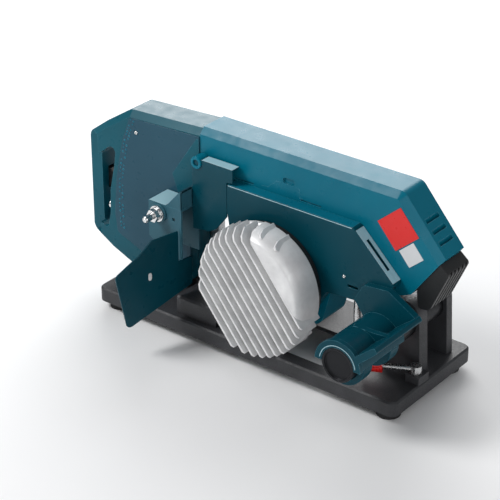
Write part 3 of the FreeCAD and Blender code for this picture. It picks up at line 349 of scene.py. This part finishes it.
soft_widths = {
    "bow_housing": 0.0014,
    "left_housing": 0.0014,
    "left_panel": 0.0006,
    "back_cover": 0.0005,
    "motor_tray": 0.0008,
    "stop_mount": 0.0007,
    "motor_body": 0.0008,
    "hinge_saddle": 0.0012,
    "saddle_straps": 0.0010,
    "end_cap": 0.0010,
    "base_tray": 0.0014,
    "table_strip": 0.0006,
    "vise_bed": 0.0012,
    "front_hinge_post": 0.0012,
    "rear_hinge_post": 0.0012,
    "moving_jaw": 0.0012,
    "fixed_jaw": 0.0012,
    "vise_wheel": 0.0010,
    "vise_nut": 0.0010,
    "hinge_tube": 0.0010,
    "trigger": 0.0008,
    "clamp_knob": 0.0008,
    "left_guide_arm": 0.0007,
    "right_guide_arm": 0.0007,
    "guide_rail": 0.0006,
    "stop_stud": 0.0005,
    "cable_gland": 0.0006,
    "down_stop": 0.0005,
}
for name, width in soft_widths.items():
    soften(name, width)
print("softened", len(soft_widths))

# %% [markdown]
# ## Tools for the small pieces
# Two moves make nearly all of the hardware: an outline that is pushed to a thickness,
# and a half profile that is spun about an axis. Both are worked where they belong, so
# each finished object stays at the origin.


# %% Turn a mesh in work into a finished piece
def finish_piece(name, work, finish, body, width=0.0004, segments=2):
    bmesh.ops.remove_doubles(work, verts=work.verts, dist=1e-6)
    bmesh.ops.recalc_face_normals(work, faces=work.faces)
    mesh = bpy.data.meshes.new(name)
    work.to_mesh(mesh)
    work.free()
    mesh.materials.append(finish)
    piece = bpy.data.objects.new(name, mesh)
    bpy.context.scene.collection.objects.link(piece)
    round_edges(piece, width, segments)
    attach(piece, body)
    return piece


# %% Push an outline, and spin a profile
def push(work, corners, travel):
    """A flat outline pushed along a vector."""
    face_verts = [work.verts.new(corner) for corner in corners]
    sheet = work.faces.new(face_verts)
    grown = bmesh.ops.extrude_face_region(work, geom=[sheet])
    moved = [item for item in grown["geom"] if isinstance(item, bmesh.types.BMVert)]
    bmesh.ops.translate(work, verts=moved, vec=travel)
    return face_verts + moved


def spin(work, profile, center, axis, steps=32):
    """A half profile of (radius, height) spun about an axis through a centre."""
    axis = Vector(axis).normalized()
    side = axis.orthogonal().normalized()
    points = [Vector(center) + side * radius * MM + axis * height * MM for radius, height in profile]
    verts = [work.verts.new(point) for point in points]
    edges = [work.edges.new(pair) for pair in zip(verts, verts[1:])]
    bmesh.ops.spin(work, geom=verts + edges, cent=center, axis=axis, angle=2 * math.pi,
                   steps=steps, use_merge=True, use_duplicate=False)


def screw(work, place, axis, radius=3.0, height=1.4):
    """A pan head with a round recess."""
    socket = radius * 0.5
    profile = [(0.0, height * 0.35), (socket, height * 0.35), (socket, height), (radius * 0.75, height),
               (radius, height * 0.45), (radius, 0.0), (0.0, 0.0)]
    spin(work, profile, place, axis, steps=18)


def arc(center_y, center_z, radius, start, end, steps):
    """Points of a round stretch, as pairs."""
    turn = (end - start) / steps
    angles = [math.radians(start + turn * index) for index in range(steps + 1)]
    return [(center_y + radius * math.cos(a), center_z + radius * math.sin(a)) for a in angles]


# %% [markdown]
# ## Finned motor cover
# The cover is a die casting: a round dish, a low core, and parallel cooling fins that
# stand well clear of it. Each fin slopes off at its upper end and stops square at the
# lower one, so the rim steps like a stair. The last fin widens into a smooth shoulder.
# Fins are pushed outlines turned together by the casting's angle about the motor axis.

# %% Sizes of the cover
cover_radius = 88.0
fin_reach_low = 97.0
fin_reach_high = 91.0
cover_back = -33.0
cover_front = -82.0
fin_angle = math.radians(51.0)
fin_pitch = 13.4
fin_thickness = 3.4
motor_axis = at(drive_x, 0, wheel_z)
fin_turn = Matrix.Rotation(fin_angle, 4, "Y")


def on_cover(along, y, across):
    """A place on the cover, along and across its fins, before they are turned."""
    point = fin_turn @ Vector((along * MM, 0, across * MM))
    return motor_axis + point + Vector((0, y * MM, 0))


# %% Dish, core, fins and shoulder of the cover
cover = bmesh.new()
dish = [(0, cover_back), (cover_radius, cover_back), (cover_radius, cover_back - 5),
        (cover_radius - 4, cover_back - 9), (0, cover_back - 9)]
spin(cover, dish, at(drive_x, 0, wheel_z), (0, 1, 0), 96)
core = [(0, cover_back - 8), (cover_radius - 12, cover_back - 8), (cover_radius - 18, cover_front + 24),
        (0, cover_front + 21)]
spin(cover, core, at(drive_x, 0, wheel_z), (0, 1, 0), 96)
fin_count = 11
for index in range(fin_count):
    across = (index - 5.7) * fin_pitch
    high = -math.sqrt(fin_reach_high ** 2 - across ** 2)
    low = math.sqrt(fin_reach_low ** 2 - across ** 2)
    side = [(high, cover_back - 6), (high, cover_front + 18), (high + 8, cover_front + 5),
            (high + 15, cover_front + 1), (low - 4, cover_front), (low, cover_front + 3),
            (low, cover_back - 6)]
    corners = [on_cover(along, y, across - fin_thickness / 2) for along, y in side]
    rise = fin_turn @ Vector((0, 0, fin_thickness * MM))
    push(cover, corners, rise)
for index in range(fin_count, fin_count + 2):
    across = (index - 5.7) * fin_pitch
    high = -math.sqrt(fin_reach_high ** 2 - across ** 2) - 8
    side = [(high, cover_back - 6), (high, cover_front + 20), (high + 5, cover_front + 9),
            (high + 10, cover_front + 7), (high + 18, cover_front + 16), (high + 18, cover_back - 6)]
    push(cover, [on_cover(along, y, across - fin_thickness / 2) for along, y in side], rise)
shoulder_start = (fin_count - 5.7) * fin_pitch - fin_pitch + fin_thickness / 2
print("fins", fin_count, "shoulder from", round(shoulder_start, 1))

# %% The shoulder: bands that follow the round edge and fall away to it
levels = [(1.06, cover_back - 6), (1.06, cover_front + 26), (1.03, cover_front + 10), (0.97, cover_front + 2),
          (0.93, cover_front)]
rings = []
for scale, y in levels:
    reach = cover_radius * scale
    spread = math.degrees(math.acos(min(shoulder_start / reach, 1.0)))
    ring = arc(0, 0, reach, 90 - spread, 90 + spread, 20)
    rings.append([cover.verts.new(on_cover(along, y, across)) for along, across in ring])
for lower, upper in zip(rings, rings[1:]):
    lower_edges = [cover.edges.new(pair) for pair in zip(lower, lower[1:])] if lower is rings[0] else upper_edges
    upper_edges = [cover.edges.new(pair) for pair in zip(upper, upper[1:])]
    bmesh.ops.bridge_loops(cover, edges=lower_edges + upper_edges)
cover.faces.new(rings[-1])
cover.faces.new(rings[0])
wall = [ring[0] for ring in rings] + [ring[-1] for ring in reversed(rings)]
cover.faces.new(wall)
fins = finish_piece("motor_fins", cover, cast.material, "bow", 0.0007, 2)
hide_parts("motor_fin_cover")

collar = bmesh.new()
spin(collar, [(60, -19.6), (82, -19.6), (84, -22), (84, -31), (82, -33.2), (60, -33.2), (60, -19.6)],
     at(drive_x, 0, wheel_z), (0, 1, 0), 72)
finish_piece("motor_collar", collar, black_plastic.material, "bow", 0.0005)
print("finned cover made")

# %% [markdown]
# ## Work stop
# The stop is one stamped sheet, square to the blade, held by the stud on its mount.
# It stands upright beside the throat, with a rounded nose and a bright oval pin.
# A pushed outline gives its edge, and a round seat carries the stud's washers. The
# sheet is left bare.

# %% The stop sheet and the seat of its stud
sheet_turn = math.radians(80.0)
sheet_run = Vector((-math.cos(sheet_turn), -math.sin(sheet_turn), 0))
sheet_normal = Vector((math.sin(sheet_turn), -math.cos(sheet_turn), 0))


def on_sheet(along, z, proud=0.0):
    """A place on the stop sheet, measured along it from the gusset's edge."""
    return at(0, -19, z) + sheet_run * along * MM + sheet_normal * proud * MM


stop = bmesh.new()
nose = arc(133, 128, 8, 60, 0, 4)
foot = arc(117, 53, 8, 0, -100, 4)
outline = [(3, 74), (3, 118), (28, 118), (28, 166), (76, 168), (99, 152)] + nose + foot
push(stop, [on_sheet(along, z, -1.5) for along, z in outline], sheet_normal * 3.0 * MM)
stop_sheet = finish_piece("stop_sheet", stop, stop_teal, "bow", 0.0008, 2)
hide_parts("work_stop")

stud_low, stud_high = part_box("stop_stud")
stud_x = ((stud_low[0] + stud_high[0]) / 2 - joint_line) / MM
stud_z = ((stud_low[2] + stud_high[2]) / 2 - floor_z) / MM
seat = bmesh.new()
spin(seat, [(5.2, 0.1), (14.5, 0.1), (14.5, 2.6), (13.7, 3.0), (5.2, 3.0), (5.2, 0.1)],
     at(stud_x, -44, stud_z), (0, -1, 0), 36)
finish_piece("stud_seat", seat, mount_highlight_teal, "bow", 0.0004)

pin = bmesh.new()
oval = arc(81, 116, 3.0, 0, 180, 8) + arc(81, 110, 3.0, 180, 360, 8)
push(pin, [on_sheet(along, z, 1.45) for along, z in oval], sheet_normal * 0.9 * MM)
finish_piece("stop_oval_pin", pin, cast.material, "bow", 0.0004, 2)
print("stop made")

# %% [markdown]
# ## Gusset bracket, its eye and the mount's wing
# The gusset is one folded sheet: a face, a top flange turned back to the bow, and a
# turned left edge. A rolled eye stands at its top left corner. The mount of the stop
# has a wing that rises to the gusset, which keeps the two from bending apart.

# %% Gusset, eye and wing
gusset = bmesh.new()
gusset_face = [(0, 161), (30, 165), (42, 172)] + [(61.6, 197), (61.6, 250), (72, 252), (72, 272), (0, 272)]
push(gusset, [at(x, -19, z) for x, z in gusset_face], Vector((0, 2.4 * MM, 0)))
top_flange = [(2, 269.4), (72, 269.4), (72, 272), (2, 272)]
push(gusset, [at(x, -17, z) for x, z in top_flange], Vector((0, 14.4 * MM, 0)))
left_flange = [(0, 161), (2.4, 161), (2.4, 270), (0, 270)]
push(gusset, [at(x, -17, z) for x, z in left_flange], Vector((0, 14.4 * MM, 0)))
gusset_piece = finish_piece("gusset_sheet", gusset, deep_teal, "bow", 0.0008, 2)
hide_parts("stop_bracket")

eye = bmesh.new()
eye_profile = [(5.0, 0.0), (8.4, 0.0), (9.2, 0.8), (9.2, 18.5), (5.0, 18.5), (5.0, 0.0)]
spin(eye, eye_profile, at(8.5, -21.2, 266), (0, 1, 0), 36)
eye_piece = finish_piece("gusset_eye", eye, teal, "bow", 0.0005, 2)
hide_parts("bracket_bush")
# A black disk deep in the eye's bore is painted shade: it darkens the hole where only shade lies.
hole = bmesh.new()
spin(hole, [(0.0, 0.0), (4.9, 0.0), (4.9, 1.0), (0.0, 1.0)], at(8.5, -9, 266), (0, 1, 0), 30)
finish_piece("eye_bore_painted_shade", hole, rubber.material, "bow", 0.0001, 1)

wing = bmesh.new()
wing_face = [(-28, 197.6), (-0.4, 197.6), (-0.4, 226), (-3, 226)]
push(wing, [at(x, -44, z) for x, z in wing_face], Vector((0, 2.4 * MM, 0)))
wing_top = [(-28, 197.6), (-3, 226), (-0.4, 226), (-0.4, 223), (-24, 197.6)]
push(wing, [at(x, -42, z) for x, z in wing_top], Vector((0, 39 * MM, 0)))
wing_side = [(-44, 198), (-44, 226), (-19, 226), (-19, 198)]
push(wing, [at(-0.4, y, z) for y, z in wing_side], Vector((-2.4 * MM, 0, 0)))
finish_piece("mount_wing", wing, mount_highlight_teal, "bow", 0.0006, 2)

# The pale strips on the gusset's top flange and on the mount's top are painted highlight, for the sky they
# reflect.
lit = bmesh.new()
push(lit, [at(x, y, 272.0) for x, y in ((18, -18.6), (71.4, -18.6), (71.4, -3.4), (18, -3.4))],
     Vector((0, 0, 0.4 * MM)))
push(lit, [at(x, y, 198.0) for x, y in ((-59, -43.4), (-29, -43.4), (-29, -3.0), (-59, -3.0))],
     Vector((0, 0, 0.3 * MM)))
finish_piece("flange_painted_highlights", lit, painted_highlight_teal, "bow", 0.0002, 2)
print("gusset made")

# %% [markdown]
# ## Screws that a hand would look for
# Covers and panels are held by small plated screws. They are one spun profile each,
# joined into one piece on the bow so that the part list stays readable.

# %% Front screws
front_screws = bmesh.new()
for x, z in ((-85.1, 140.1), (-117.1, 270.0), (-41.1, 84.1)):
    screw(front_screws, at(x, -1.0, z), (0, -1, 0), 3.1, 1.9)
screw(front_screws, at(262, -19.0, 172), (0, -1, 0), 2.6, 1.4)
finish_piece("front_screws", front_screws, zinc.material, "bow", 0.0002, 1)
print("front screws made")

# %% [markdown]
# ## Raised dots along the grip side of the panel
# Beside the hand opening the panel carries two rows of small raised marks. They are
# shown as plain uneven dots. Each is a low spun cap with few faces, and the rows
# follow the panel's own curved edge.


# %% A row of caps along a curve
def edge_curve(share):
    """Places on the panel's curved edge, from top to bottom."""
    stops = [(-133, 288), (-147, 250), (-157, 200), (-160, 150), (-158, 104)]
    step = share * (len(stops) - 1)
    index = min(int(step), len(stops) - 2)
    part = step - index
    first, last = stops[index], stops[index + 1]
    return first[0] + (last[0] - first[0]) * part, first[1] + (last[1] - first[1]) * part


dots = bmesh.new()
for row, inset in enumerate((7.0, 12.5)):
    for index in range(30):
        if (index * 7 + row * 3) % 5 == 2:
            continue
        x, z = edge_curve((index + 0.3 * row) / 30)
        size = 1.4 + 0.6 * ((index * 5 + row) % 3) / 2
        cap = [(0.0, 0.8), (size * 0.6, 0.6), (size, 0.0), (0.0, 0.0)]
        spin(dots, cap, at(x + inset, -2.2, z), (0, -1, 0), 8)
finish_piece("panel_dots", dots, teal, "bow", 0.0001, 1)
print("dots made")

# %% [markdown]
# ## Pressed lines on the bow
# A shallow pressed line links the two slots above the motor to the oval hole between
# them. It stands a quarter of a millimetre proud, just enough to draw a thin light.
# Beside the joint a thin sheet in the housing's darker teal lies on the panel's corner as painted shade.


# %% A raised line through a few places
def raised_line(work, places, width, height):
    for (x0, z0), (x1, z1) in zip(places, places[1:]):
        run = Vector((x1 - x0, z1 - z0)).normalized()
        side = Vector((-run.y, run.x)) * width / 2
        ends = [(x0 + side.x, z0 + side.y), (x1 + side.x, z1 + side.y),
                (x1 - side.x, z1 - side.y), (x0 - side.x, z0 - side.y)]
        push(work, [at(x, 0.0, z) for x, z in ends], Vector((0, -height * MM, 0)))


lines = bmesh.new()
raised_line(lines, [(108, 254), (118, 254), (134, 268), (142, 268)], 0.9, 0.25)
raised_line(lines, [(166, 268), (172, 266), (172, 254), (178, 254)], 0.9, 0.25)
finish_piece("pressed_lines", lines, teal, "bow", 0.0001, 1)

# A dark sheet that paints the shade on the panel's corner; no part of the saw lies there.
panel_shade_work = bmesh.new()
shade = [(-40, 199), (-1, 228), (-1, 292), (-5, 292), (-50, 226)]
push(panel_shade_work, [at(x, -2.2, z) for x, z in shade], Vector((0, -0.3 * MM, 0)))
finish_piece("panel_painted_shade", panel_shade_work, grip_teal, "bow", 0.0001, 1)
print("pressed lines made")

# %% [markdown]
# ## Painted highlights on the tray and the saddle
# The tray's sloping flange faces the sky and shows pale round its long slot, as do its
# upper front edge and the mouth of the saddle. That pale light is painted on: thin strips
# in a pale enamel that stands for reflected sky, seated on the sheet, so that the slot
# stays open between them.

# %% Painted highlight strips along the tray's edges
tray_low, tray_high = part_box("motor_tray")
tray_top = (tray_high[2] - floor_z) / MM
tray_front = (tray_low[1] - face) / MM
hinge = next(joint for joint in frame["joints"] if joint["name"] == "bow_pivot")
hinge_x = (hinge["pos_m"][0] - joint_line) / MM
hinge_z = (hinge["pos_m"][2] - floor_z) / MM
slope_head = Vector((hinge_x - 52, 0, tray_top))
slope_foot = Vector((hinge_x + 15, 0, hinge_z + 75))
slope_run = (slope_foot - slope_head).normalized()
slope_up = Vector((-slope_run.z, 0, slope_run.x))
slope_length = (slope_foot - slope_head).length


def slope_band(work, start, end, y_front, y_back):
    """One flat strip of painted highlight on the sloping flange."""
    first = slope_head + slope_run * start + slope_up * 0.05
    last = slope_head + slope_run * end + slope_up * 0.05
    corners = [at(first.x, y_front, first.z), at(last.x, y_front, last.z),
               at(last.x, y_back, last.z), at(first.x, y_back, first.z)]
    push(work, corners, slope_up * 0.4 * MM)


bright = bmesh.new()
slot_start = slope_length / 2 - 24.6
slot_end = slope_length / 2 + 24.6
slope_band(bright, 4, slope_length - 4, tray_front + 0.6, tray_front / 2 - 3)
slope_band(bright, 4, slope_length - 4, tray_front / 2 + 2.5, -0.8)
slope_band(bright, 4, slot_start, tray_front / 2 - 3, tray_front / 2 + 2.5)
slope_band(bright, slot_end, slope_length - 4, tray_front / 2 - 3, tray_front / 2 + 2.5)
top_line = [(64, tray_top - 1.6), (hinge_x - 55, tray_top - 1.6),
            (hinge_x - 55, tray_top - 0.5), (64, tray_top - 0.5)]
push(bright, [at(x, tray_front, z) for x, z in top_line], Vector((0, -0.25 * MM, 0)))
finish_piece("tray_painted_highlights", bright, painted_highlight_teal, "bow", 0.0001, 1)

tray_shelf = bmesh.new()
shelf = [(63, tray_front + 0.8), (hinge_x - 55, tray_front + 0.8), (hinge_x - 55, -0.6), (63, -0.6)]
push(tray_shelf, [at(x, y, tray_top) for x, y in shelf], Vector((0, 0, 0.3 * MM)))
finish_piece("tray_shelf", tray_shelf, teal, "bow", 0.0001, 1)

saddle_front = (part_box("hinge_saddle")[0][1] - face) / MM
# The pale ring at the saddle's mouth is painted highlight as well.
mouth = bmesh.new()
mouth_outline = arc(hinge_x, hinge_z, 28.8, 8, 172, 28) + arc(hinge_x, hinge_z, 27.6, 172, 8, 28)
push(mouth, [at(x, saddle_front, z) for x, z in mouth_outline], Vector((0, -0.5 * MM, 0)))
finish_piece("saddle_painted_highlight", mouth, painted_highlight_teal, piece_body["hinge_saddle"], 0.0002, 1)
print("bright edges made")

# %% [markdown]
# ## Camera, floor and light
# A long lens from the operator's right keeps the bow's lines nearly parallel. Large
# soft lamps and a dim pale world act as a studio tent, so the enamel keeps its depth.

# %% Camera at the operator's right
view_azimuth = math.radians(37.9)
view_elevation = math.radians(28.1)
view_distance = 2.55
middle = (Vector(cad_low) + Vector(cad_high)) / 2
toward_camera = Vector((
    math.sin(view_azimuth) * math.cos(view_elevation),
    -math.cos(view_azimuth) * math.cos(view_elevation),
    math.sin(view_elevation),
))
camera_data = bpy.data.cameras.new("camera")
camera_data.lens = 132
camera = bpy.data.objects.new("camera", camera_data)
camera.location = middle + toward_camera * view_distance
camera.rotation_euler = (-toward_camera).to_track_quat("-Z", "Y").to_euler()
bpy.context.scene.collection.objects.link(camera)
bpy.context.scene.camera = camera
bpy.context.scene.view_settings.view_transform = "Standard"


# %% Floor and lamps
def lamp(name, place, size, power, color=(1, 1, 1)):
    data = bpy.data.lights.new(name, "AREA")
    data.shape = "SQUARE"
    data.size = size
    data.energy = power
    data.color = color
    light = bpy.data.objects.new(name, data)
    light.location = place
    aim = Vector(middle) - Vector(place)
    light.rotation_euler = aim.to_track_quat("-Z", "Y").to_euler()
    bpy.context.scene.collection.objects.link(light)
    return light


lamp("key lamp", (-1.05, -1.2, 2.0), 0.8, 38)
lamp("fill lamp", (2.1, -1.2, 1.1), 0.9, 9)
lamp("back card", (-0.95, 1.9, 1.35), 1.9, 62)

floor_mesh = bpy.data.meshes.new("studio floor")
floor_work = bmesh.new()
bmesh.ops.create_grid(floor_work, x_segments=1, y_segments=1, size=6.0)
floor_work.to_mesh(floor_mesh)
floor_work.free()
floor = bpy.data.objects.new("studio_floor", floor_mesh)
floor.location = (0, 0, cad_low[2])
paper = Finish("pale studio paper", (0.90, 0.90, 0.90), 0.85)
paper.color(paper.ramp(paper.noise(3, 2), (0.88, 0.88, 0.885), (0.91, 0.91, 0.91)))
floor_mesh.materials.append(paper.material)
bpy.context.scene.collection.objects.link(floor)

world = bpy.data.worlds.new("studio")
world.use_nodes = True
world.node_tree.nodes["Background"].inputs["Color"].default_value = (0.95, 0.97, 1.0, 1.0)
world.node_tree.nodes["Background"].inputs["Strength"].default_value = 0.30
bpy.context.scene.world = world
